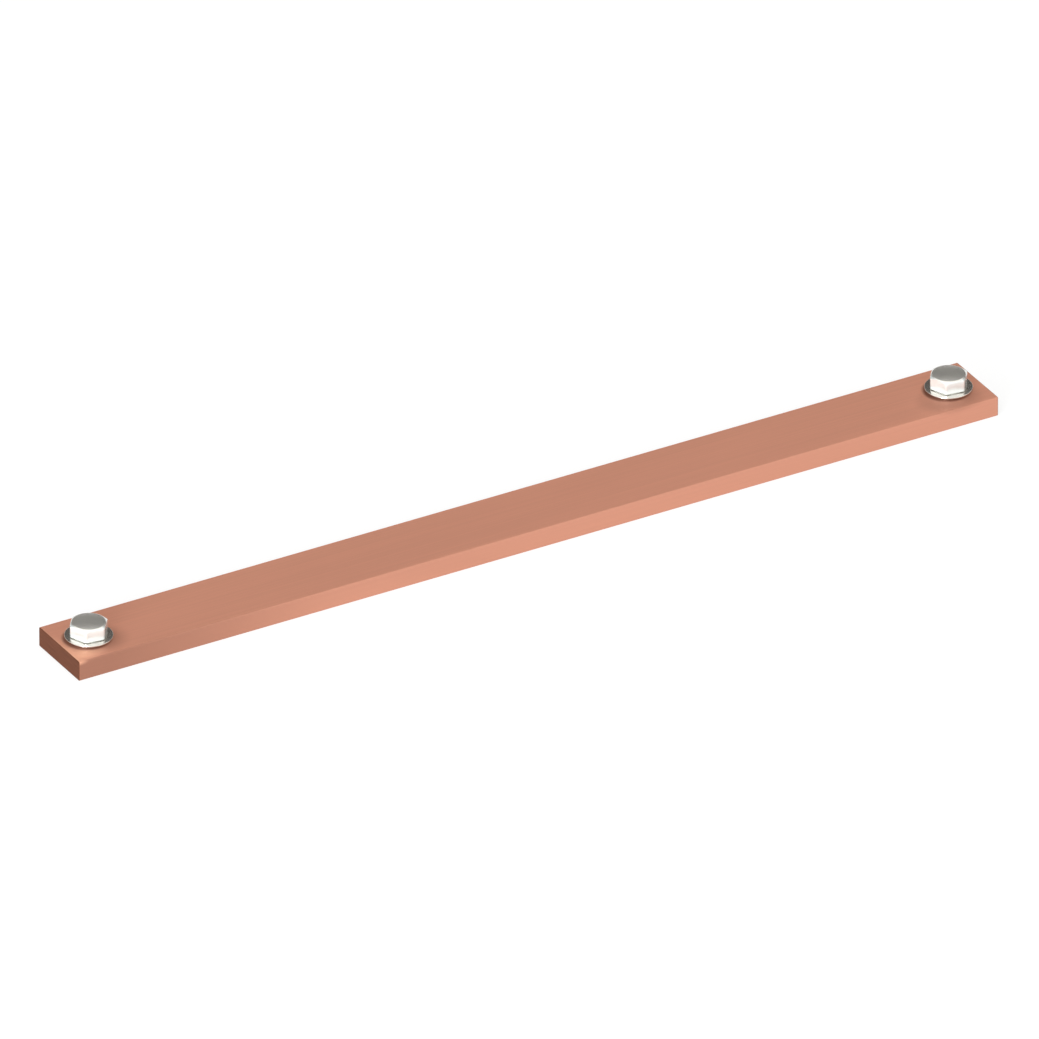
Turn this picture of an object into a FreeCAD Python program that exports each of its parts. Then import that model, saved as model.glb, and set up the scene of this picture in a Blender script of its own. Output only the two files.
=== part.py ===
"""Copper busbar: a flat drawn copper bar with a hexagon screw and a conical spring washer at each end.

The frame has +X along the bar and +Z up, with the origin at the middle of the flat underside.
The screws stand in tapped holes. Threads are drawn as plain cylinders at their outside diameter,
and each screw ends just inside the underside, so that the bar lies flat.
"""
import FreeCAD
import Part
import Sketcher
import math
import os

# Driving dimensions in millimetres, and in degrees where the note says so.
SIZES = [
    ("bar_length", 390, "length of the bar along X"),
    ("bar_width", 30, "width of the drawn section"),
    ("bar_thickness", 8, "thickness of the drawn section"),
    ("edge_radius", 0.6, "rounding of the four long edges"),
    ("end_chamfer", 0.3, "deburred edge of the sawn ends"),
    ("end_distance", 12.5, "from a bar end to the axis of its screw"),
    ("thread_diameter", 8, "outside diameter of the screw thread"),
    ("thread_clearance", 0.05, "gap all round between the thread and the tapped wall"),
    ("mouth_chamfer", 0.6, "countersunk mouth of a tapped hole"),
    ("tip_recess", 0.2, "from the underside up to the screw tip"),
    ("tip_chamfer", 0.8, "chamfered first turn of the thread"),
    ("head_across_flats", 13, "hexagon across flats"),
    ("head_height", 5.3, "head from its bearing face to its top"),
    ("bearing_step", 0.3, "bearing face inside the flats"),
    ("bearing_height", 0.2, "height of the round bearing face"),
    ("crown_step", 0.35, "flat crown circle inside the flats"),
    ("crown_angle", 30, "slope of the chamfered crown, in degrees"),
    ("head_turn", 52, "turn of the hexagon about its axis, in degrees"),
    ("washer_diameter", 18, "outside diameter of the spring washer"),
    ("washer_clearance", 0.2, "gap all round between the thread and the washer bore"),
    ("washer_thickness", 0.8, "wall of the spring washer, measured upright"),
    ("washer_height", 1.0, "height of the dished washer under its screw head"),
    ("rim_chamfer", 0.2, "bevelled upper rim of the washer"),
]

# Sizes that follow from the driving dimensions.
SCREW_PLACE = "(Sizes.bar_length / 2 - Sizes.end_distance)"
SCREW_LENGTH = "(Sizes.bar_thickness + Sizes.washer_height - Sizes.tip_recess)"
HEAD_TOP = f"({SCREW_LENGTH} + Sizes.head_height)"
HEXAGON_FOOT = f"({SCREW_LENGTH} + Sizes.bearing_height)"
THREAD_RADIUS = "(Sizes.thread_diameter / 2)"
HOLE_DIAMETER = "(Sizes.thread_diameter + 2 * Sizes.thread_clearance)"
BEARING_RADIUS = "(Sizes.head_across_flats / 2 - Sizes.bearing_step)"
CROWN_RADIUS = "(Sizes.head_across_flats / 2 - Sizes.crown_step)"
CROWN_REACH = "Sizes.head_across_flats"
CROWN_DROP = f"(({CROWN_REACH} - {CROWN_RADIUS}) * tan(Sizes.crown_angle))"
WASHER_RADIUS = "(Sizes.washer_diameter / 2)"
WASHER_BORE_RADIUS = f"({THREAD_RADIUS} + Sizes.washer_clearance)"
WASHER_DISH = "(Sizes.washer_height - Sizes.washer_thickness)"

# A sketch's own numbers for its axes, for the points of a line or circle and for its origin.
HORIZONTAL_AXIS, VERTICAL_AXIS = range(-1, -3, -1)
START, END, CENTRE = range(1, 4)
ORIGIN_POINT = (HORIZONTAL_AXIS, START)

UP = FreeCAD.Vector(0, 0, 1)
TOUCH = 1e-6
ROUGH = 10.0  # size of a sketch before its dimensions pull it into place


def make_sheet(doc):
    """Put the driving dimensions into a sheet, one named cell each."""
    sheet = doc.addObject("Spreadsheet::Sheet", "Sizes")
    for row, (name, value, note) in enumerate(SIZES, start=1):
        sheet.set(f"A{row}", name)
        sheet.set(f"B{row}", str(value))
        sheet.setAlias(f"B{row}", name)
        sheet.set(f"C{row}", note)
    doc.recompute()


def new_sketch(body, name, role, height=None):
    """Lay a sketch on one of the body's own origin planes, raised by an expression if one is given."""
    sketch = body.newObject("Sketcher::SketchObject", name)
    support = next(plane for plane in body.Origin.OriginFeatures if plane.Role == role)
    sketch.AttachmentSupport = (support, [""])
    sketch.MapMode = "FlatFace"
    if height:
        sketch.setExpression("AttachmentOffset.Base.z", height)
    return sketch


def drive(sketch, name, kind, *where_and_value, expression):
    """Add a dimension and bind it to an expression on the sheet."""
    index = sketch.addConstraint(Sketcher.Constraint(kind, *where_and_value))
    sketch.renameConstraint(index, name)
    sketch.setExpression(f"Constraints.{name}", expression)


def closed_lines(sketch, points):
    """Draw a closed loop of lines through rough points, for constraints to pull into place."""
    vectors = [FreeCAD.Vector(x, y, 0) for x, y in points]
    count = len(vectors)
    for index, start in enumerate(vectors):
        sketch.addGeometry(Part.LineSegment(start, vectors[(index + 1) % count]), False)
    for index in range(count):
        sketch.addConstraint(Sketcher.Constraint("Coincident", index, END, (index + 1) % count, START))


def revolved_outline(sketch, corners):
    """Draw a half section whose corners are (radius, height) expressions, None meaning zero."""
    rough = [(ROUGH + index, ROUGH + index * index) for index in range(len(corners))]
    closed_lines(sketch, rough)
    for index, (radius, height) in enumerate(corners):
        if radius is None:
            sketch.addConstraint(Sketcher.Constraint("PointOnObject", index, START, VERTICAL_AXIS))
        else:
            drive(sketch, f"radius_{index}", "DistanceX", *ORIGIN_POINT, index, START, rough[index][0],
                  expression=radius)
        if height is None:
            sketch.addConstraint(Sketcher.Constraint("PointOnObject", index, START, HORIZONTAL_AXIS))
        else:
            drive(sketch, f"height_{index}", "DistanceY", *ORIGIN_POINT, index, START, rough[index][1],
                  expression=height)


def turned(body, kind, name, corners):
    """Add a full revolution or groove about the body's upright axis."""
    sketch = new_sketch(body, f"{name}_outline", "XZ_Plane")
    revolved_outline(sketch, corners)
    feature = body.newObject(kind, name)
    feature.Profile = sketch
    feature.ReferenceAxis = (sketch, ["V_Axis"])
    feature.Angle = 360
    return feature


def dress_edges(body, kind, name, size_property, size, wanted):
    """Round or chamfer the edges of the body so far that a test picks out."""
    body.Document.recompute()
    base = body.Tip
    edges = [f"Edge{number}" for number, edge in enumerate(base.Shape.Edges, start=1) if wanted(edge)]
    feature = body.newObject(kind, name)
    feature.Base = (base, edges)
    feature.setExpression(size_property, size)
    return feature


def runs_along_bar(edge):
    return isinstance(edge.Curve, Part.Line) and abs(edge.Curve.Direction.x) > 1 - TOUCH


def lies_across_bar(edge):
    return edge.BoundBox.XLength < TOUCH


def is_level_circle(edge):
    return isinstance(edge.Curve, Part.Circle) and edge.BoundBox.ZLength < TOUCH


def make_bar(doc, label):
    """The drawn section, cut to length, deburred, drilled and tapped."""
    body = doc.addObject("PartDesign::Body", label)
    section = new_sketch(body, "drawn_section", "YZ_Plane")
    closed_lines(section, [(-ROUGH, 0), (ROUGH, 0), (ROUGH, ROUGH), (-ROUGH, ROUGH)])
    bottom, right, top, left = range(4)
    section.addConstraint(Sketcher.Constraint("Horizontal", top))
    for side in (right, left):
        section.addConstraint(Sketcher.Constraint("Vertical", side))
    section.addConstraint(Sketcher.Constraint("PointOnObject", bottom, START, HORIZONTAL_AXIS))
    section.addConstraint(Sketcher.Constraint("Symmetric", bottom, START, bottom, END, VERTICAL_AXIS))
    drive(section, "width", "DistanceX", bottom, START, bottom, END, 2 * ROUGH,
          expression="Sizes.bar_width")
    drive(section, "thickness", "DistanceY", right, START, right, END, ROUGH,
          expression="Sizes.bar_thickness")
    drawn = body.newObject("PartDesign::Pad", "drawn_bar")
    drawn.Profile = section
    drawn.Midplane = True
    drawn.setExpression("Length", "Sizes.bar_length")
    dress_edges(body, "PartDesign::Fillet", "long_edges", "Radius", "Sizes.edge_radius", runs_along_bar)
    dress_edges(body, "PartDesign::Chamfer", "sawn_ends", "Size", "Sizes.end_chamfer", lies_across_bar)

    doc.recompute()
    places = new_sketch(body, "screw_places", "XY_Plane", height="Sizes.bar_thickness")
    for middle in (-ROUGH, ROUGH):
        places.addGeometry(Part.Circle(FreeCAD.Vector(middle, 0, 0), UP, ROUGH / 2), False)
    near, far = 0, 1
    places.addConstraint(Sketcher.Constraint("PointOnObject", near, CENTRE, HORIZONTAL_AXIS))
    places.addConstraint(Sketcher.Constraint("Symmetric", near, CENTRE, far, CENTRE, *ORIGIN_POINT))
    places.addConstraint(Sketcher.Constraint("Equal", near, far))
    drive(places, "pitch", "DistanceX", near, CENTRE, far, CENTRE, 2 * ROUGH, expression=f"2 * {SCREW_PLACE}")
    drive(places, "bore", "Diameter", near, ROUGH, expression=HOLE_DIAMETER)
    doc.recompute()
    tapped = body.newObject("PartDesign::Hole", "tapped_holes")
    tapped.Profile = places
    tapped.DepthType = "ThroughAll"
    tapped.DrillPoint = "Flat"
    tapped.setExpression("Diameter", HOLE_DIAMETER)
    dress_edges(body, "PartDesign::Chamfer", "hole_mouths", "Size", "Sizes.mouth_chamfer", is_level_circle)
    return body


def make_screw(doc, label):
    """A hexagon screw, standing on its tip: threaded shank, bearing face, hexagon and chamfered crown."""
    body = doc.addObject("PartDesign::Body", label)
    turned(body, "PartDesign::Revolution", "shank", [
        (None, None),
        (f"{THREAD_RADIUS} - Sizes.tip_chamfer", None),
        (THREAD_RADIUS, "Sizes.tip_chamfer"),
        (THREAD_RADIUS, SCREW_LENGTH),
        (BEARING_RADIUS, SCREW_LENGTH),
        (BEARING_RADIUS, HEXAGON_FOOT),
        (None, HEXAGON_FOOT),
    ])

    hexagon = new_sketch(body, "hexagon", "XY_Plane", height=HEXAGON_FOOT)
    corner_angles = [math.radians(60 * corner) for corner in range(6)]
    closed_lines(hexagon, [(ROUGH * math.cos(angle), ROUGH * math.sin(angle)) for angle in corner_angles])
    round_corners = hexagon.addGeometry(Part.Circle(FreeCAD.Vector(0, 0, 0), UP, ROUGH), True)
    hexagon.addConstraint(Sketcher.Constraint("Coincident", round_corners, CENTRE, *ORIGIN_POINT))
    for side in range(6):
        hexagon.addConstraint(Sketcher.Constraint("PointOnObject", side, START, round_corners))
    for side in range(1, 6):
        hexagon.addConstraint(Sketcher.Constraint("Equal", 0, side))
    upper_flat, lower_flat = 1, 4
    hexagon.addConstraint(Sketcher.Constraint("Horizontal", upper_flat))
    drive(hexagon, "across_flats", "DistanceY", lower_flat, START, upper_flat, END, 2 * ROUGH,
          expression="Sizes.head_across_flats")
    head = body.newObject("PartDesign::Pad", "head")
    head.Profile = hexagon
    head.setExpression("Length", "Sizes.head_height - Sizes.bearing_height")

    turned(body, "PartDesign::Groove", "crown", [
        (CROWN_RADIUS, HEAD_TOP),
        (CROWN_REACH, HEAD_TOP),
        (CROWN_REACH, f"{HEAD_TOP} - {CROWN_DROP}"),
    ])
    return body


def make_washer(doc, label):
    """A conical spring washer: its outer rim rests on the bar and its inner edge carries the head."""
    body = doc.addObject("PartDesign::Body", label)
    turned(body, "PartDesign::Revolution", "dished_ring", [
        (WASHER_RADIUS, None),
        (WASHER_RADIUS, "Sizes.washer_thickness"),
        (WASHER_BORE_RADIUS, "Sizes.washer_height"),
        (WASHER_BORE_RADIUS, WASHER_DISH),
    ])
    body.Document.recompute()
    widest = max(edge.BoundBox.XLength for edge in body.Tip.Shape.Edges)

    def is_upper_rim(edge):
        return is_level_circle(edge) and edge.BoundBox.XLength > widest - TOUCH and edge.BoundBox.ZMin > TOUCH

    dress_edges(body, "PartDesign::Chamfer", "upper_rim", "Size", "Sizes.rim_chamfer", is_upper_rim)
    return body


def place(body, x, z, turn=None):
    """Set a body down by expressions for its place along the bar, its height and its turn."""
    body.Placement = FreeCAD.Placement(FreeCAD.Vector(0, 0, 0), FreeCAD.Rotation(UP, 1))
    body.setExpression("Placement.Base.x", x)
    body.setExpression("Placement.Base.z", z)
    body.setExpression("Placement.Rotation.Angle", turn or "0")


def check(doc, bodies):
    """Stop if anything failed to build, before a file is written."""
    failed = [item.Label for item in doc.Objects if {"Invalid", "Error"} & set(item.State)]
    if failed:
        raise RuntimeError("these did not build: " + ", ".join(failed))
    for body in bodies:
        shape = body.Shape
        if shape.isNull() or not shape.isValid() or len(shape.Solids) != 1:
            raise RuntimeError(f"{body.Label} is not one sound solid")


def main():
    doc = FreeCAD.newDocument("copper_busbar")
    make_sheet(doc)
    bodies = [make_bar(doc, "copper_bar")]
    for side, direction in (("left", "-"), ("right", "")):
        screw = make_screw(doc, f"{side}_hex_screw")
        place(screw, f"{direction}{SCREW_PLACE}", "Sizes.tip_recess", "Sizes.head_turn")
        washer = make_washer(doc, f"{side}_spring_washer")
        place(washer, f"{direction}{SCREW_PLACE}", "Sizes.bar_thickness")
        bodies += [screw, washer]
    doc.recompute()
    check(doc, bodies)
    os.makedirs("parts", exist_ok=True)
    for body in bodies:
        body.Shape.exportStep(f"parts/{body.Label}.step")
        box = body.Shape.BoundBox
        print(f"{body.Label}: {body.Shape.Volume:.1f} mm3, "
              f"x {box.XMin:.2f} to {box.XMax:.2f}, z {box.ZMin:.2f} to {box.ZMax:.2f}")


main()
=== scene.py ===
# %% [markdown]
# # A copper busbar
# The real object is a flat drawn copper bar, sawn to length, with a hexagon screw on a dished
# spring washer at each end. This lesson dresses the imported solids: it builds smooth meshes with real
# threads where the solids are plain, and gives the copper and the zinc plate their own finish.
# All sizes are metres in the frame of the solids, so nothing is moved to fit.

import math

import bmesh
import bpy
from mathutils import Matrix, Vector


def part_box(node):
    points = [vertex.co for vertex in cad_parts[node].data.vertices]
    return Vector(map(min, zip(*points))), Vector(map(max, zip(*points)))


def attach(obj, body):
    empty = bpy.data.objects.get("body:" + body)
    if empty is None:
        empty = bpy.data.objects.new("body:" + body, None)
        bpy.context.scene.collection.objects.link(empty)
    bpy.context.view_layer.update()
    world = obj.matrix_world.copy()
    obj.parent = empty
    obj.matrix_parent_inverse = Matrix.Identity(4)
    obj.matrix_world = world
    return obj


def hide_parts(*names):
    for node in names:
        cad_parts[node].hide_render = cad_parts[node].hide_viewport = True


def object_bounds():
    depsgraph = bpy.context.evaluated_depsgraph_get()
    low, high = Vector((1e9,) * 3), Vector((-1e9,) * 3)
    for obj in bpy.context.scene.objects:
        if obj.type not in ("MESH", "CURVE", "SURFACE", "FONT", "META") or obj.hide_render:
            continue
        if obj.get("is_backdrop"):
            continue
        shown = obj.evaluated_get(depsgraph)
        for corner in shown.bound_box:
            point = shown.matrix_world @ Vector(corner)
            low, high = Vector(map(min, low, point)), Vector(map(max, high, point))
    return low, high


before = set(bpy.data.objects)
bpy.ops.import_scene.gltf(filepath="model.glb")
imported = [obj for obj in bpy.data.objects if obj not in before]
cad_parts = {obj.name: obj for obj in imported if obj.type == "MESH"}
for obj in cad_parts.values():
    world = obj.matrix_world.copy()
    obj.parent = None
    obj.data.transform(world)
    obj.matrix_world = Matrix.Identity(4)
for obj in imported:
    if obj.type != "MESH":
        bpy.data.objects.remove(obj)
solid_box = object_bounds()
MM = 0.001
SIDES = ("left", "right")


def in_mm(values):
    """Lengths in millimetres, rounded for printing."""
    return [round(value / MM, 2) for value in values]


def middle_x(node):
    """Where a node stands along the bar."""
    low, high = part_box(node)
    return (low.x + high.x) / 2


screw_places = {side: middle_x(f"{side}_hex_screw") for side in SIDES}
print("nodes:", ", ".join(sorted(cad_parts)))
print("solid box in mm:", [in_mm(corner) for corner in solid_box])

# %% [markdown]
# ## The camera
# The picture is a parallel view: the long edges of the bar stay parallel from end to end. Blender has
# a parallel camera, but it can't step back to show the whole bar from another side. A camera with a
# very long lens, far away, can, and its view is parallel to within a small part of a pixel.

# %% Viewing angle
PICTURE_SIZE = 1039
PIXELS_PER_METRE = 2720.0
BAR_MIDDLE_PIXEL = (520.8, 511.4)
AZIMUTH = math.radians(-30)
ELEVATION = math.radians(30)

bar_low, bar_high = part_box("copper_bar")
bar_middle_top = Vector((0, 0, bar_high.z))
towards_camera = Vector((
    math.sin(AZIMUTH) * math.cos(ELEVATION),
    -math.cos(AZIMUTH) * math.cos(ELEVATION),
    math.sin(ELEVATION),
))
camera_turn = (-towards_camera).to_track_quat("-Z", "Y")
picture_right = camera_turn @ Vector((1, 0, 0))
picture_up = camera_turn @ Vector((0, 1, 0))
right_of_bar = (PICTURE_SIZE / 2 - BAR_MIDDLE_PIXEL[0]) / PIXELS_PER_METRE
above_bar = (BAR_MIDDLE_PIXEL[1] - PICTURE_SIZE / 2) / PIXELS_PER_METRE
aim = bar_middle_top + picture_right * right_of_bar + picture_up * above_bar
print("the camera aims at", in_mm(aim), "mm")

# %% Camera far away with a long lens
LENS = 1500.0
SENSOR = 36.0
camera_distance = PICTURE_SIZE / PIXELS_PER_METRE * LENS / SENSOR


def put_in_scene(name, data):
    """An object that shows a mesh, a lamp or a camera, at the origin of the scene."""
    thing = bpy.data.objects.new(name, data)
    bpy.context.scene.collection.objects.link(thing)
    return thing


camera_data = bpy.data.cameras.new("camera")
camera_data.lens = LENS
camera_data.sensor_width = SENSOR
camera_data.clip_end = 2 * camera_distance
camera = put_in_scene("camera", camera_data)
camera.location = aim + towards_camera * camera_distance
camera.rotation_mode = "QUATERNION"
camera.rotation_quaternion = camera_turn
bpy.context.scene.camera = camera
print(f"camera {camera_distance:.1f} m away")


# %% Where the corners of the bar land
def picture_place(point):
    """Where a point of the frame lands in the picture, in pixels from the top left."""
    offset = point - camera.location
    scale = LENS / SENSOR * PICTURE_SIZE / -offset.dot(towards_camera)
    half = PICTURE_SIZE / 2
    return half + offset.dot(picture_right) * scale, half - offset.dot(picture_up) * scale


for x in (bar_low.x, bar_high.x):
    for y in (bar_low.y, bar_high.y):
        right, down = picture_place(Vector((x, y, bar_high.z)))
        print(f"top corner {x / MM:.1f} {y / MM:.1f} mm at {right:.1f} {down:.1f} px")

# %% [markdown]
# ## Writing node trees as sums
# Both materials and Geometry Nodes are trees of small nodes. Wrapping an output in a class with the
# arithmetic operators lets a rule be written the way it is said, such as 1 - mask * 0.5.
# Every other node comes from one function that sets the node's own settings before its sockets.


# %% A wire that can be added and multiplied
class Wire:
    """The output of a node. Arithmetic on it adds Math nodes to the same tree."""

    def __init__(self, tree, socket):
        self.tree = tree
        self.socket = socket

    def node(self, kind, settings=None, sockets=None, output=0):
        """Add a node of any kind to the tree of this wire."""
        return add_node(self.tree, kind, settings, sockets, output)

    def other(self, output):
        """Another output of the same node."""
        return Wire(self.tree, self.socket.node.outputs[output])

    def math(self, operation, *others):
        """A Math node with this wire as its first value."""
        return self.node("ShaderNodeMath", {"operation": operation}, dict(enumerate((self, *others))))

    def math_after(self, operation, first):
        """A Math node with this wire as its second value."""
        return self.node("ShaderNodeMath", {"operation": operation}, {0: first, 1: self})

    def __add__(self, other):
        return self.math("ADD", other)

    def __radd__(self, other):
        return self.math_after("ADD", other)

    def __sub__(self, other):
        return self.math("SUBTRACT", other)

    def __rsub__(self, other):
        return self.math_after("SUBTRACT", other)

    def __mul__(self, other):
        return self.math("MULTIPLY", other)

    def __rmul__(self, other):
        return self.math_after("MULTIPLY", other)

    def __truediv__(self, other):
        return self.math("DIVIDE", other)

    def __rtruediv__(self, other):
        return self.math_after("DIVIDE", other)

    def __abs__(self):
        return self.math("ABSOLUTE")

    def __round__(self):
        return self.math("ROUND")

    def least(self, other):
        return self.math("MINIMUM", other)

    def most(self, other):
        return self.math("MAXIMUM", other)

    def between(self, low, high):
        """A ramp from 0 at low to 1 at high, soft at both ends."""
        return self.node("ShaderNodeMapRange", {"interpolation_type": "SMOOTHSTEP"},
                         {"Value": self, 1: low, 2: high})

    def blend(self, first, second):
        """A colour between two colours, with this wire as the share of the second."""
        return self.node("ShaderNodeMix", {"data_type": "RGBA"},
                         {0: self, 6: first, 7: second}, output=2)

    def parts(self):
        """The x, y and z of a vector."""
        split = self.node("ShaderNodeSeparateXYZ", None, {0: self})
        return [split.other(axis) for axis in range(3)]


# %% One way to add any node
def set_up(node, name, value):
    """Give a node one of its settings. A list of items is made as long as the value says."""
    items = getattr(node, name)
    if not hasattr(items, "new"):
        setattr(node, name, value)
        return
    while len(items) < value:
        items.new()


def feed(tree, socket, value):
    """Give a socket a plain value, a wire or a list of wires."""
    if isinstance(value, list):
        for wire in value:
            feed(tree, socket, wire)
    elif isinstance(value, Wire):
        tree.links.new(value.socket, socket)
    else:
        socket.default_value = value


def add_node(tree, kind, settings=None, sockets=None, output=0):
    """Add a node: its settings first, then what each named socket gets."""
    node = tree.nodes.new(kind)
    for name, value in (settings or {}).items():
        set_up(node, name, value)
    for name, value in (sockets or {}).items():
        feed(tree, node.inputs[name], value)
    return Wire(tree, node.outputs[output]) if node.outputs else None


print("wires ready")

# %% [markdown]
# ## Finishes
# A picture could be wrapped round each piece, but it blurs close up. A finish made of nodes stays
# sharp. It reads the object's own coordinates in millimetres, so its grain has a real scale and stays
# put when the camera moves. Metals get most of their look from what they reflect: the nodes tint the
# colour a little, vary the roughness and raise fine lines, and on the copper they also paint in some
# shade and a glint.

# %% Start and end of a finish
GRAIN_DEPTH = 0.006 * MM


def bare_tree(owner):
    """The emptied node tree of a material or a world."""
    owner.use_nodes = True
    owner.node_tree.nodes.clear()
    return owner.node_tree


def vector_math(place, operation, *values, output=0):
    """A Vector Math node on coordinates and, where it takes one, a second vector."""
    return place.node("ShaderNodeVectorMath", {"operation": operation},
                      dict(enumerate((place, *values))), output)


def new_finish(name):
    """An empty material, and the object's coordinates in millimetres as a wire."""
    material = bpy.data.materials.new(name)
    place = add_node(bare_tree(material), "ShaderNodeTexCoord", output="Object")
    return material, vector_math(place, "MULTIPLY", (1 / MM, 1 / MM, 1 / MM))


def stretched(place, shares):
    """Coordinates scaled by a share along each axis, for grain that runs one way."""
    return vector_math(place, "MULTIPLY", shares)


def grain(place, scale, detail):
    """Soft noise from 0 to 1 with so many cells for each millimetre."""
    return place.node("ShaderNodeTexNoise", None, {"Vector": place, "Scale": scale, "Detail": detail})


def close_finish(place, height, sockets):
    """Join the wires to a metal surface: bump from a height, the rest as given."""
    bump = place.node("ShaderNodeBump", None,
                      {"Height": height, "Distance": GRAIN_DEPTH, "Strength": 1.0})
    surface = place.node("ShaderNodeBsdfPrincipled", None, {"Normal": bump, **sockets})
    place.node("ShaderNodeOutputMaterial", None, {"Surface": surface})


print(f"grain up to {GRAIN_DEPTH / MM:.3f} mm deep")

# %% [markdown]
# ### Copper
# Drawing a bar through a die leaves fine lines along it, and handling leaves faint clouds of tarnish.
# The front is painted darker near the left end, as painted shade, and the corner above it carries a
# painted glint. At each washer the copper is painted darker: a narrow ring of painted shadow at its
# front left, and a wider patch of painted shade in front that damps the reflection of the head. The saw
# cuts the ends across, so they are rougher and browner, and part of their dark brown is painted shade.
# One material does it all: where a point lies says what colour it gets.

# %% Drawn skin
BRIGHT_COPPER = (0.755, 0.368, 0.256, 1)
DRAWN_COPPER = (0.707, 0.343, 0.238, 1)
LINE_STRETCH = (0.006, 1.0, 1.0)
LINES_PER_MM = 1.6
CLOUD_STRETCH = (0.35, 1.0, 1.0)
CLOUDS_PER_MM = 0.05


def drawn_skin(place):
    """The colour of clean drawn copper, with the lines and the clouds that it is made from."""
    lines = grain(stretched(place, LINE_STRETCH), LINES_PER_MM, 4.0)
    clouds = grain(stretched(place, CLOUD_STRETCH), CLOUDS_PER_MM, 3.0)
    colour = (lines * 0.7 + clouds * 0.3).between(0.30, 0.70).blend(DRAWN_COPPER, BRIGHT_COPPER)
    return colour, lines, clouds


print(f"drawn lines {1 / LINES_PER_MM:.2f} mm apart")

# %% Painted shade on the front and a painted glint on the corner, with places in millimetres
# Painted shade: a darker copper for the front face and round the washers.
SHADED_COPPER = (0.41, 0.193, 0.132, 1)
# Painted highlight: the colour of the glint on the top near the front left corner.
GLINT_COPPER = (0.93, 0.510, 0.340, 1)
BAR_TOP = bar_high.z / MM
BAR_FRONT = bar_low.y / MM
# Painted shade on the front face, strongest at the left end and weaker towards the middle.
FRONT_SHADE_FADE = (-190.0, -70.0)
FRONT_SHADE_FADED = 0.68
FRONT_SHADE_DEPTH = 0.9
GLINT_CORNER = {
    "middle": (-190.5, -10.0, BAR_TOP), "stretch": (0.8, 1.6, 4.0), "inner": 1.0, "outer": 9.0}
GLINT_EDGE = {
    "middle": (-195.0, -9.0, BAR_TOP), "stretch": (1.5, 0.45, 4.0), "inner": 1.0, "outer": 8.0}


def patch(place, middle, stretch, inner, outer):
    """A soft patch: 1 within the inner distance of a point, 0 beyond the outer one."""
    offset = stretched(vector_math(place, "SUBTRACT", middle), stretch)
    return 1 - vector_math(offset, "LENGTH", output="Value").between(inner, outer)


def painted_front_shade_and_glint(place, colour, lines, clouds):
    """Paint shade on the front face, strongest near the left end, and a painted glint on the corner
    above it.
    """
    along, across, _ = place.parts()
    on_front = 1 - across.between(BAR_FRONT, BAR_FRONT + FRONT_SHADE_DEPTH)
    # Painted shade: the front face is coloured darker, most towards the left end.
    dull = (1.0 - FRONT_SHADE_FADED * along.between(*FRONT_SHADE_FADE)) * on_front
    colour = (dull * (0.8 + clouds * 0.4)).blend(colour, SHADED_COPPER)
    # Painted highlight: a glint near the front left corner and along the top edge of the left end.
    glint_share = patch(place, **GLINT_CORNER).most(0.9 * patch(place, **GLINT_EDGE))
    return (glint_share * (0.7 + lines * 0.4)).blend(colour, GLINT_COPPER)


# Prints where the painted glint on the corner sits.
print("rubbed corner at", GLINT_CORNER["middle"], "mm")

# %% Painted shadow and painted shade round the washers, in millimetres
# Painted shadow and painted shade round the washers: a narrow dark ring at the front left, and a wider
# patch in front that damps the reflection of the head.
CONTACT_SHADOW_COPPER = (0.22, 0.088, 0.056, 1)
CONTACT_SHADOW_SHIFT = (-1.2, -0.7)
CONTACT_SHADOW = {"stretch": (1.0, 1.0, 4.0), "inner": 8.2, "outer": 9.9}
SHADE_HALO_SHIFT = {"left": (0.0, -4.0), "right": (-3.5, -7.0)}
SHADE_HALO_SHARE = {"left": 0.65, "right": 0.6}
SHADE_HALO = {"stretch": (0.8, 1.0, 4.0), "inner": 4.0, "outer": 12.5}


def painted_washer_shade(place, colour, clouds):
    """Painted shade in front of each washer that damps the reflection of its head, and a narrow ring of
    painted shadow at its front left.
    """
    for side, screw_place in screw_places.items():
        axis = screw_place / MM
        # Painted shade in front of the washer, against the reflection of the head in the copper.
        shade_halo = patch(place, (axis + SHADE_HALO_SHIFT[side][0], SHADE_HALO_SHIFT[side][1], BAR_TOP), **SHADE_HALO)
        colour = (shade_halo * (SHADE_HALO_SHARE[side] + clouds * 0.2)).blend(colour, SHADED_COPPER)
        # Painted shadow: a narrow dark ring at the front left of the washer.
        contact_shadow = patch(place, (axis + CONTACT_SHADOW_SHIFT[0], CONTACT_SHADOW_SHIFT[1], BAR_TOP), **CONTACT_SHADOW)
        colour = (contact_shadow * (0.8 + clouds * 0.3)).blend(colour, CONTACT_SHADOW_COPPER)
    return colour


# Prints the axes round which the painted shade lies.
print("stains round", in_mm(screw_places.values()), "mm")

# %% Sawn ends, partly painted shade, and the whole copper finish
# Sawn ends: the saw lines and roughness are real, and part of their dark brown is painted shade.
SAWN_SHADED_COPPER = (0.215, 0.078, 0.043, 1)
BROWN_SHADED_COPPER = (0.160, 0.059, 0.033, 1)
END_EDGE = 0.3 * MM
SAWN_DEPTH = 0.1
SAW_STRETCH = (1.0, 0.06, 2.6)
SAW_LINES_PER_MM = 1.6


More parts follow.
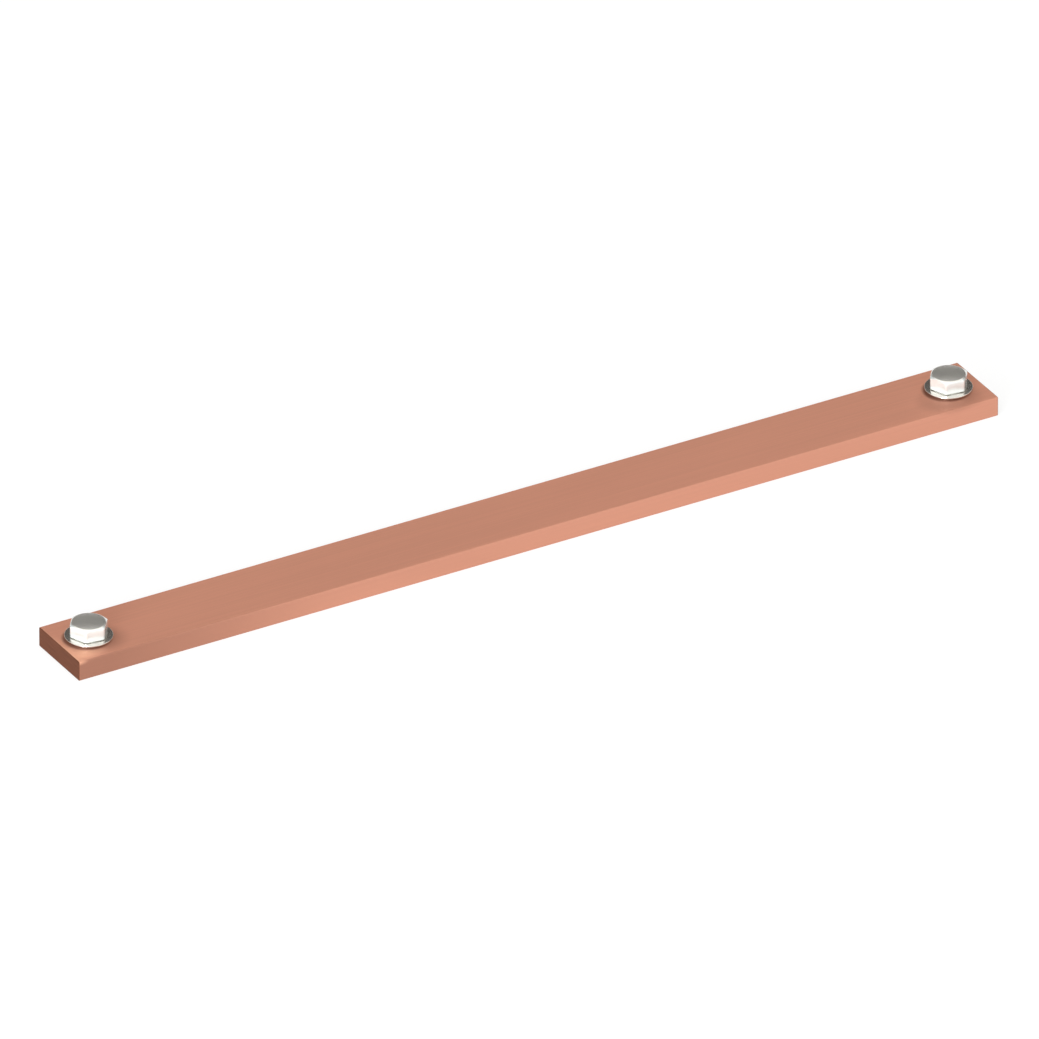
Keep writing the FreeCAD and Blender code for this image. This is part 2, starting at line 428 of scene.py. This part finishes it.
def copper_finish():
    """Drawn copper with its marks and painted light, and dark brown saw lines, partly painted shade,
    where a point lies on an end.
    """
    material, place = new_finish("drawn_copper")
    skin, lines, clouds = drawn_skin(place)
    colour = painted_washer_shade(place, painted_front_shade_and_glint(place, skin, lines, clouds), clouds)

    along, _, _ = place.parts()
    half_length = bar_high.x / MM
    on_end = abs(along).between(half_length - END_EDGE / MM, half_length - SAWN_DEPTH)
    saw_lines = grain(stretched(place, SAW_STRETCH), SAW_LINES_PER_MM, 3.0)
    # Saw lines in dark brown: the rough cut is real, and part of the darkness is painted shade.
    sawn_and_shaded = saw_lines.between(0.35, 0.68).blend(BROWN_SHADED_COPPER, SAWN_SHADED_COPPER)
    close_finish(place, lines * (1 - on_end) + saw_lines * on_end * 3.0, {
        "Base Color": on_end.blend(colour, sawn_and_shaded),
        "Roughness": 0.57 + lines * 0.06 + clouds * 0.02 + on_end * 0.08,
        "Metallic": 1.0,
    })
    return material


copper = copper_finish()
print("made", copper.name, "with", len(copper.node_tree.nodes), "nodes")

# %% [markdown]
# ### Zinc plate
# Zinc on steel is a pale coat of fine crystals. Part of the light goes into it and comes back white, and
# part is mirrored. A pure metal would look like chrome, so on the screws the finish is only partly one.
# Handling wears the coat off the tops of the heads, and bare steel shows there, which mirrors more. The
# hardened washers take a greyer, warmer coat. Under a lens all of it is grainy, so colour and roughness
# waver a little.

# %% Zinc finishes
PALE_ZINC = (0.87, 0.895, 0.875, 1)
CLOUDED_ZINC = (0.79, 0.815, 0.79, 1)
GREY_ZINC = (0.80, 0.755, 0.70, 1)
DULL_ZINC = (0.70, 0.65, 0.595, 1)
BARE_STEEL = (0.80, 0.77, 0.72, 1)
ZINC_METAL = 0.52
BARE_METAL = 0.82
WEAR_DEPTH = 0.45
ZINC_ROUGHNESS = 0.18
FINE_PER_MM = 2.2
BROAD_PER_MM = 0.16


def zinc_coat(place, dull, pale):
    """The colour, the roughness and the fine grain of a coat of zinc."""
    fine = grain(place, FINE_PER_MM, 3.0)
    broad = grain(place, BROAD_PER_MM, 2.0)
    colour = (fine * 0.4 + broad * 0.6).between(0.35, 0.65).blend(dull, pale)
    return colour, ZINC_ROUGHNESS + fine * 0.08 + broad * 0.04, fine


def screw_finish():
    """Pale zinc, worn to bare steel at the top of the heads."""
    material, place = new_finish("screw_zinc")
    colour, roughness, fine = zinc_coat(place, CLOUDED_ZINC, PALE_ZINC)
    _, _, height = place.parts()
    screw_top = solid_box[1][2] / MM
    worn = height.between(screw_top - WEAR_DEPTH, screw_top)
    close_finish(place, fine, {
        "Base Color": worn.blend(colour, BARE_STEEL),
        "Roughness": roughness,
        "Metallic": ZINC_METAL + worn * (BARE_METAL - ZINC_METAL),
    })
    return material


def washer_finish():
    """Greyer zinc that mirrors as metal does."""
    material, place = new_finish("washer_zinc")
    colour, roughness, fine = zinc_coat(place, DULL_ZINC, GREY_ZINC)
    close_finish(place, fine, {"Base Color": colour, "Roughness": roughness, "Metallic": 1.0})
    return material


screw_zinc = screw_finish()
washer_zinc = washer_finish()
print("made", screw_zinc.name, "and", washer_zinc.name)

# %% [markdown]
# ## Turned shapes
# Screws and washers are turned, so their shape is a rule: at each angle round the axis, a row of
# points with a radius and a height. A profile could be spun, but that gives round shapes only. Here
# Geometry Nodes bend a flat grid instead. Because a radius may then depend on the angle, the same kind
# of tree that turns a washer can also mill a hexagon and cut a thread.

# %% Trees that bend a grid round an axis
COLUMNS = 192
WELD = 0.002 * MM


def new_shape(name, inputs):
    """A Geometry Nodes tree with named inputs for its sizes, each as a wire."""
    tree = bpy.data.node_groups.new(name, "GeometryNodeTree")
    tree.interface.new_socket("Shape", in_out="OUTPUT", socket_type="NodeSocketGeometry")
    for label in inputs:
        tree.interface.new_socket(label, in_out="INPUT", socket_type="NodeSocketFloat")
    source = add_node(tree, "NodeGroupInput")
    return tree, {label: source.other(label) for label in inputs}


def bent_grid(tree, rows, rule):
    """A grid bent round the upright axis. The rule turns angle and row into radius and height."""
    grid = add_node(tree, "GeometryNodeMeshGrid", None,
                    {"Size X": 1.0, "Size Y": 1.0, "Vertices X": COLUMNS + 1, "Vertices Y": rows})
    across, along, _ = add_node(tree, "GeometryNodeInputPosition").parts()
    angle = (across + 0.5) * math.tau
    radius, height = rule(angle, round((along + 0.5) * (rows - 1)))
    position = angle.node("ShaderNodeCombineXYZ", None, {
        "X": radius * angle.math("COSINE"),
        "Y": radius * angle.math("SINE"),
        "Z": height,
    })
    return grid.node("GeometryNodeSetPosition", None, {"Geometry": grid, "Position": position})


def pick(row, values):
    """The value that belongs to a row, out of numbers and wires."""
    settings = {"data_type": "FLOAT", "index_switch_items": len(values)}
    return row.node("GeometryNodeIndexSwitch", settings, dict(enumerate((row, *values))))


def pick_pair(row, stations):
    """The radius and the height that belong to a row, out of such pairs."""
    radii, heights = zip(*stations)
    return pick(row, radii), pick(row, heights)


print(f"turned shapes have {COLUMNS} columns round")

# %% Closing and running a tree
SHARP_ANGLE = math.radians(35)


def close_shape(tree, grids, material, move_x=0.0, turn=0.0):
    """Weld the grids, move them to their place and give them a finish."""
    shape = add_node(tree, "GeometryNodeJoinGeometry", None, {"Geometry": grids})
    steps = {
        "GeometryNodeMergeByDistance": {"Distance": WELD},
        "GeometryNodeTransform": {
            "Translation": shape.node("ShaderNodeCombineXYZ", None, {"X": move_x}),
            "Rotation": shape.node("ShaderNodeCombineXYZ", None, {"Z": turn}),
        },
        "GeometryNodeSetShadeSmooth": {"Shade Smooth": True},
        "GeometryNodeRealizeInstances": {},
        "GeometryNodeSetMaterial": {"Material": material},
    }
    for kind, sockets in steps.items():
        shape = shape.node(kind, None, {"Geometry": shape, **sockets})
    shape.node("NodeGroupOutput", None, {0: shape})


def grow(name, tree, sizes):
    """Run a tree with these sizes and keep the result as a plain mesh at the origin."""
    piece = put_in_scene(name, bpy.data.meshes.new(name))
    modifier = piece.modifiers.new("shape", "NODES")
    modifier.node_group = tree
    for item in tree.interface.items_tree:
        if item.in_out == "INPUT":
            modifier[item.identifier] = sizes[item.name]
    evaluated = piece.evaluated_get(bpy.context.evaluated_depsgraph_get())
    mesh = bpy.data.meshes.new_from_object(evaluated)
    mesh.materials.pop(index=0)  # the empty slot that every new grid brings
    piece.modifiers.remove(modifier)
    piece.data = mesh
    return piece


def outward(mesh):
    """Point all faces of a closed mesh outwards, and keep only true corners sharp."""
    work = bmesh.new()
    work.from_mesh(mesh)
    bmesh.ops.recalc_face_normals(work, faces=work.faces)
    work.to_mesh(mesh)
    work.free()
    mesh.set_sharp_from_angle(angle=SHARP_ANGLE)


print(f"corners above {math.degrees(SHARP_ANGLE):.0f} degrees stay sharp")

# %% [markdown]
# ### Threads
# A screw thread is a ridge that climbs one pitch for each turn. Cutting it with a second shape leaves
# ragged faces. If instead the rows of the grid climb with it, every row runs along the crest, a flank
# or the root, so few rows make a clean thread. At both ends the height stops and the rows pile up on
# one ring, where welding joins them.

# %% Thread rule
THREAD_RADIUS = 4.0 * MM
PITCH = 1.25 * MM
THREAD_DEPTH = 0.6495 * PITCH
ROWS_PER_TURN = 8
FLAT_SHARE = 1 / 8
WHOLE_TURNS = 100.0
SPARE_TURNS = 3


def thread_radius(angle, height, outside):
    """Radius of a thread with sloping flanks at an angle and a height."""
    turns = height / PITCH - angle / math.tau
    from_crest = abs((turns + WHOLE_TURNS).math("FRACT") * 2.0 - 1.0)
    depth = ((from_crest - FLAT_SHARE) / (1.0 - 2.0 * FLAT_SHARE)).most(0.0).least(1.0)
    return outside - depth * THREAD_DEPTH


def thread_rows(low, high):
    """How many climbing rows cover a thread between two heights."""
    return math.ceil(((high - low) / PITCH + SPARE_TURNS) * ROWS_PER_TURN)


def climbing_height(angle, row, low, high):
    """Height of a climbing row, stopped at both ends."""
    first_row = (math.floor(low / PITCH) - 1.0) * ROWS_PER_TURN - 0.5
    climbed = ((row + first_row) / ROWS_PER_TURN + angle / math.tau) * PITCH
    return climbed.most(low).least(high)


print(f"thread: pitch {PITCH / MM:.2f} mm, depth {THREAD_DEPTH / MM:.2f} mm")

# %% [markdown]
# ## The copper bar
# A drawn section is one outline pushed along a line. A bevelled block would look much the same, but it
# has no tapped holes. So mesh code lays the same ring of points at a few places along the bar, bridges
# them, and fills the broad faces round the threaded walls of the holes. Rings near the ends are pulled
# in to round the deburred edge. Two extra points beside each rounding keep the broad faces perfectly
# flat when they are shaded smooth.

# %% Rounded section of the bar
EDGE_RADIUS = 0.6 * MM
ARC_STEPS = 6
SUPPORT = 0.1 * MM
SECTION_CORNERS = ((1, 0), (1, 1), (-1, 1), (-1, 0))
half_width = bar_high.y
thickness = bar_high.z


def quarter(first=0):
    """Angles of a quarter turn, counted on from so many quarters."""
    return [math.radians(90 * (first + step / ARC_STEPS)) for step in range(ARC_STEPS + 1)]


def section_ring(inset):
    """The drawn section as a ring of (y, z) points, pulled in all round by an inset."""
    ring = []
    for corner, (side, level) in enumerate(SECTION_CORNERS):
        middle = Vector((
            side * (half_width - EDGE_RADIUS),
            EDGE_RADIUS + level * (thickness - 2 * EDGE_RADIUS),
        ))
        ways = [Vector((math.cos(angle), math.sin(angle))) for angle in quarter(corner - 1)]
        arc = [middle + (EDGE_RADIUS - inset) * way for way in ways]
        before, after = [SUPPORT * Vector((-way.y, way.x)) for way in (ways[0], ways[-1])]
        ring += [arc[0] - before, *arc, arc[-1] + after]
    return ring


def end_steps():
    """(distance from the bar end, inset) of the rings that round an end, from the end inwards."""
    arc = [(END_EDGE * (1 - math.cos(angle)), END_EDGE * (1 - math.sin(angle))) for angle in quarter()]
    return [(0.0, END_EDGE + SUPPORT), *arc, (END_EDGE + SUPPORT, 0.0)]


print(f"section: {len(section_ring(0.0))} points round, {len(end_steps())} rings at each end")

# %% Tapped holes
MOUTH_RADIUS = 4.65 * MM
THREAD_GAP = 0.05 * MM


def tapped_wall_shape():
    """The wall of a tapped hole: a thread opened by a countersunk mouth at both faces."""
    tree, sizes = new_shape("tapped wall", ["Place", "Thickness", "Thread Radius", "Mouth Radius"])

    def rule(angle, row):
        height = climbing_height(angle, row, 0.0, thickness)
        wall = thread_radius(angle, height, sizes["Thread Radius"])
        from_face = height.least(sizes["Thickness"] - height)
        return wall.most(sizes["Mouth Radius"] - from_face), height

    close_shape(tree, [bent_grid(tree, thread_rows(0.0, thickness), rule)], copper, sizes["Place"])
    return tree


def add_walls(work):
    """Put the wall of a tapped hole at the place of each screw."""
    wall_tree = tapped_wall_shape()
    for place in screw_places.values():
        wall = grow("tapped_wall", wall_tree, {
            "Place": place, "Thickness": thickness,
            "Thread Radius": THREAD_RADIUS + THREAD_GAP, "Mouth Radius": MOUTH_RADIUS,
        })
        work.from_mesh(wall.data)
        bpy.data.objects.remove(wall)


print(f"tapped holes open to {2 * MOUTH_RADIUS / MM:.1f} mm at both faces")


# %% Drawn skin round the holes
def add_skin(work):
    """Bridge the rings from end to end, but leave the long spans of the two broad faces open."""
    stations = [(bar_low.x + along, inset) for along, inset in end_steps()]
    stations += [(bar_high.x - along, inset) for along, inset in reversed(end_steps())]
    rings = [[work.verts.new((x, y, z)) for y, z in section_ring(inset)] for x, inset in stations]
    count = len(rings[0])
    long_span = len(rings) // 2 - 1
    open_runs = {count // 2 - 1, count - 1}
    for span, (ring, following) in enumerate(zip(rings, rings[1:])):
        for point in range(count):
            if span == long_span and point in open_runs:
                continue
            beside = (point + 1) % count
            work.faces.new((ring[point], ring[beside], following[beside], following[point]))
    for ring in (rings[0], rings[-1]):
        work.faces.new(ring)


def fill_broad_faces(work):
    """Fill the top and the underside between the skin and the mouths of the holes."""
    for level in (bar_low.z, bar_high.z):
        rim = [edge for edge in work.edges if edge.is_boundary
               and all(abs(vertex.co.z - level) < WELD for vertex in edge.verts)]
        bmesh.ops.triangle_fill(work, edges=rim, use_beauty=True)


def bar_mesh(name):
    """The whole bar as one closed mesh."""
    work = bmesh.new()
    add_walls(work)
    add_skin(work)
    fill_broad_faces(work)
    loose = [edge for edge in work.edges if len(edge.link_faces) != 2]
    print(f"bar: {len(work.faces)} faces, {len(loose)} open edges")
    for face in work.faces:
        face.smooth = True
    mesh = bpy.data.meshes.new(name)
    work.to_mesh(mesh)
    work.free()
    mesh.materials.append(copper)
    outward(mesh)
    return mesh


bar = put_in_scene("drawn_bar", bar_mesh("drawn_bar"))
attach(bar, "root")
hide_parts("copper_bar")

# %% [markdown]
# ## The hexagon screws
# A hexagon head is forged, then its crown is turned to a flat chamfer of 30 degrees. Where that cone
# meets the six flats it leaves the curved corners that everyone knows. A prism could be cut by a cone,
# but the bent grid gives even rows of faces and soft edges. Its rule needs only the distance of a flat
# from the axis at each angle. Below the head come the round bearing face and the thread.

# %% Hexagon rule
ACROSS_FLATS = 13.0 * MM
CORNER_RADIUS = 7.3 * MM
SIXTH = math.tau / 6


def hexagon_radius(angle, flats):
    """Distance from the axis to the flats of a hexagon, with slightly blunt corners."""
    from_flat = angle.math("FLOORED_MODULO", SIXTH) - SIXTH / 2
    return (flats / from_flat.math("COSINE")).least(CORNER_RADIUS)


print(f"heads: {ACROSS_FLATS / MM:.1f} mm across flats, {2 * CORNER_RADIUS / MM:.1f} mm across corners")

# %% Rows of points down the head
BEARING_STEP = 0.3 * MM
BEARING_HEIGHT = 0.2 * MM
CROWN_STEP = 0.35 * MM
CROWN_SLOPE = math.tan(math.radians(30))
SOFT_EDGE = 0.08 * MM
HEAD_ROWS = 14


def head_stations(side, flats, seat, top, shank):
    """(radius, height) of each row, from the middle of the top to the shank under the head."""
    crown = flats - CROWN_STEP
    edge = top - (side - crown) * CROWN_SLOPE
    foot = seat + BEARING_HEIGHT
    bearing = flats - BEARING_STEP
    return [
        (0.0, top),
        (crown - SOFT_EDGE, top),
        (crown, top - 0.2 * SOFT_EDGE),
        (crown + SOFT_EDGE, top - SOFT_EDGE * CROWN_SLOPE),
        (side - SOFT_EDGE, edge + SOFT_EDGE * CROWN_SLOPE),
        (side, edge - 0.3 * SOFT_EDGE),
        (side, edge - SOFT_EDGE),
        (side, foot + SOFT_EDGE),
        (side - 0.3 * SOFT_EDGE, foot + 0.3 * SOFT_EDGE),
        (side - SOFT_EDGE, foot),
        (bearing, foot),
        (bearing, seat + SOFT_EDGE),
        (bearing - SOFT_EDGE, seat),
        (shank, seat),
    ]


print(f"{HEAD_ROWS} rows of points down each head")

# %% Hexagon screw tree
TIP_CHAMFER = 0.8 * MM
SCREW_SIZES = ["Place", "Turn", "Across Flats", "Thread Radius", "Tip", "Seat", "Top"]
screw_low, screw_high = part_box("left_hex_screw")
washer_low, washer_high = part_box("left_spring_washer")
seat_height = washer_high.z


def screw_shape():
    """A screw from three bent grids: the head, the threaded shank and the flat tip."""
    tree, sizes = new_shape("hexagon screw", SCREW_SIZES)
    flats = sizes["Across Flats"] / 2.0
    tip, seat, top = sizes["Tip"], sizes["Seat"], sizes["Top"]

    def shank_radius(angle, height):
        chamfer = height - tip + (sizes["Thread Radius"] - TIP_CHAMFER)
        return thread_radius(angle, height, sizes["Thread Radius"]).least(chamfer)

    def head(angle, row):
        side = hexagon_radius(angle, flats)
        return pick_pair(row, head_stations(side, flats, seat, top, shank_radius(angle, seat)))

    def shank(angle, row):
        height = climbing_height(angle, row, screw_low.z, seat_height)
        return shank_radius(angle, height), height

    def tip_face(angle, row):
        return shank_radius(angle, tip) * row, tip

    grids = [
        bent_grid(tree, HEAD_ROWS, head),
        bent_grid(tree, thread_rows(screw_low.z, seat_height), shank),
        bent_grid(tree, 2, tip_face),
    ]
    close_shape(tree, grids, screw_zinc, sizes["Place"], sizes["Turn"])
    return tree


screw_tree = screw_shape()
print("made a tree with", len(screw_tree.nodes), "nodes for", screw_tree.name)

# %% Two screws from one tree
HEAD_TURN = math.radians(52)

for side in SIDES:
    screw = grow(f"{side}_zinc_screw", screw_tree, {
        "Place": screw_places[side], "Turn": HEAD_TURN, "Across Flats": ACROSS_FLATS,
        "Thread Radius": THREAD_RADIUS, "Tip": screw_low.z, "Seat": seat_height, "Top": screw_high.z,
    })
    outward(screw.data)
    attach(screw, "root")
    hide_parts(f"{side}_hex_screw")
    print(f"{screw.name}: {len(screw.data.polygons)} faces, {screw.dimensions.z / MM:.2f} mm tall")

# %% [markdown]
# ## The spring washers
# A conical spring washer is a thick ring pressed into a shallow dish. It stands on its outer rim and
# carries the head on its inner edge, so the screw keeps its pull when the copper creeps. A flat ring
# would miss the slope that catches the light. The section is a slanted bar with four rounded corners,
# and the same bent grid turns that round the axis.

# %% Spring washer tree
WASHER_WALL = 0.8 * MM
BORE_RADIUS = 4.2 * MM
RIM_ROUND = 0.2 * MM
WASHER_SIZES = ["Place", "Outside", "Bore", "Wall", "Bottom", "Top"]


def rounded(radius, height, side, level):
    """Points round one corner: side and level say which way the ring lies from it."""
    points = [(1 - math.cos(angle), 1 - math.sin(angle)) for angle in quarter()]
    if side != level:
        points.reverse()
    return [(radius + side * RIM_ROUND * inward, height + level * RIM_ROUND * rise)
            for inward, rise in points]


def washer_shape():
    """A washer from one bent grid whose rows run round the section and meet again."""
    tree, sizes = new_shape("spring washer", WASHER_SIZES)
    stations = rounded(sizes["Outside"], sizes["Bottom"], -1, 1)
    stations += rounded(sizes["Outside"], sizes["Bottom"] + sizes["Wall"], -1, -1)
    stations += rounded(sizes["Bore"], sizes["Top"], 1, -1)
    stations += rounded(sizes["Bore"], sizes["Top"] - sizes["Wall"], 1, 1)
    stations.append(stations[0])

    def ring(angle, row):
        return pick_pair(row, stations)

    close_shape(tree, [bent_grid(tree, len(stations), ring)], washer_zinc, sizes["Place"])
    return tree


washer_tree = washer_shape()
print("made a tree with", len(washer_tree.nodes), "nodes for", washer_tree.name)

# %% Two washers from one tree
for side in SIDES:
    washer = grow(f"{side}_dished_washer", washer_tree, {
        "Place": screw_places[side], "Outside": (washer_high.x - washer_low.x) / 2, "Bore": BORE_RADIUS,
        "Wall": WASHER_WALL, "Bottom": washer_low.z, "Top": washer_high.z,
    })
    outward(washer.data)
    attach(washer, "root")
    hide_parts(f"{side}_spring_washer")
    print(f"{washer.name}: {len(washer.data.polygons)} faces, {washer.dimensions.x / MM:.2f} mm across")

# %% [markdown]
# ## Floor and light
# The object lies on a plain white floor. A floor that only reflects would need so much light that the
# copper burns out, so part of its white is its own glow, seen by the camera and by reflections, and the
# rest is lit, which keeps the soft shadow under the bar.

# %% White floor
FLOOR_HALF = 12.0
FLOOR_DROP = 0.02 * MM
FLOOR_CORNERS = ((-1, -1), (1, -1), (1, 1), (-1, 1))
LIT_FLOOR = (0.26, 0.26, 0.26, 1)
FLOOR_GLOW = (0.76, 0.76, 0.76, 1)
NO_GLOW = (0, 0, 0, 1)


def floor_finish():
    """A pale surface with a glow that lights nothing: only what looks at the floor sees it."""
    material = bpy.data.materials.new("white_floor")
    path = add_node(bare_tree(material), "ShaderNodeLightPath", output="Is Camera Ray")
    seen = path.most(path.other("Is Glossy Ray")).most(path.other("Is Transmission Ray"))
    lit = seen.node("ShaderNodeBsdfDiffuse", None, {"Color": LIT_FLOOR})
    glow = seen.node("ShaderNodeEmission", None, {"Color": seen.blend(NO_GLOW, FLOOR_GLOW)})
    both = seen.node("ShaderNodeAddShader", None, {0: lit, 1: glow})
    seen.node("ShaderNodeOutputMaterial", None, {"Surface": both})
    return material


floor_mesh = bpy.data.meshes.new("floor")
corners = [(x * FLOOR_HALF, y * FLOOR_HALF, -FLOOR_DROP) for x, y in FLOOR_CORNERS]
floor_mesh.from_pydata(corners, [], [(0, 1, 2, 3)])
floor_mesh.materials.append(floor_finish())
floor = put_in_scene("floor", floor_mesh)
floor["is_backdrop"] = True
print(f"floor: {2 * FLOOR_HALF:.0f} m wide")

# %% [markdown]
# The sky of the studio is white all round and soft white overhead. Only behind the object, halfway up,
# stands a dark grey card. Under an even sky, metal looks like paint. Here the bare tops of the screws
# mirror the card from the front, and the top of the copper gathers some of it, so both look darker than
# the faces that turn to the front. The sky is a rule of direction, so no card stands in any view.

# %% Studio sky
FRONT_LIGHT = (1.10, 1.10, 1.10, 1)
GREY_CARD = (0.04, 0.036, 0.030, 1)
OVERHEAD_LIGHT = (1.20, 1.20, 1.17, 1)
BACKWARDS = (0.5, 0.866)
CARD_SIDES = (-0.15, 0.25)
CARD_FOOT = (0.24, 0.32)
CARD_HEAD = (0.64, 0.74)


def studio_sky():
    """A world whose light depends on the direction that it comes from."""
    world = bpy.data.worlds.new("studio")
    along, across, height = add_node(bare_tree(world), "ShaderNodeTexCoord").parts()
    behind = (along * BACKWARDS[0] + across * BACKWARDS[1]).between(*CARD_SIDES)
    card = behind * height.between(*CARD_FOOT)
    low_sky = card.blend(FRONT_LIGHT, GREY_CARD)
    sky = height.between(*CARD_HEAD).blend(low_sky, OVERHEAD_LIGHT)
    background = sky.node("ShaderNodeBackground", None, {"Color": sky, "Strength": 1.0})
    sky.node("ShaderNodeOutputWorld", None, {"Surface": background})
    return world


bpy.context.scene.world = studio_sky()
print("sky:", bpy.context.scene.world.name)

# %% [markdown]
# One large lamp stands low at the front left. It whitens the flats of the heads and brightens the
# painted glint on the corner, and because it is wide its shadows stay soft.

# %% One soft lamp
LAMP_PLACE = Vector((-2.6, -2.1, 0.42))
LAMP_SIZE = 1.6
LAMP_POWER = 190.0
LAMP_COLOUR = (0.86, 0.96, 1.0)

lamp_data = bpy.data.lights.new("key_lamp", "AREA")
lamp_data.shape = "DISK"
lamp_data.size = LAMP_SIZE
lamp_data.energy = LAMP_POWER
lamp_data.color = LAMP_COLOUR
lamp = put_in_scene("key_lamp", lamp_data)
lamp.location = LAMP_PLACE
lamp.rotation_mode = "QUATERNION"
lamp.rotation_quaternion = (-LAMP_PLACE).to_track_quat("-Z", "Y")
print(f"{lamp.name}: {LAMP_POWER} W, {LAMP_PLACE.length:.2f} m away")

# %% [markdown]
# ## View and sizes
# Colours should render as they are written, so the picture uses the plain Standard view. The boxes of
# the solids and of the dressed object are kept side by side to show that nothing grew.

# %% View, sizes and finish
bpy.context.scene.view_settings.view_transform = "Standard"
dressed_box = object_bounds()
print("dressed box in mm:", [in_mm(corner) for corner in dressed_box])
({
    "cad": [list(corner) for corner in solid_box],
    "visual": [list(corner) for corner in dressed_box],
})
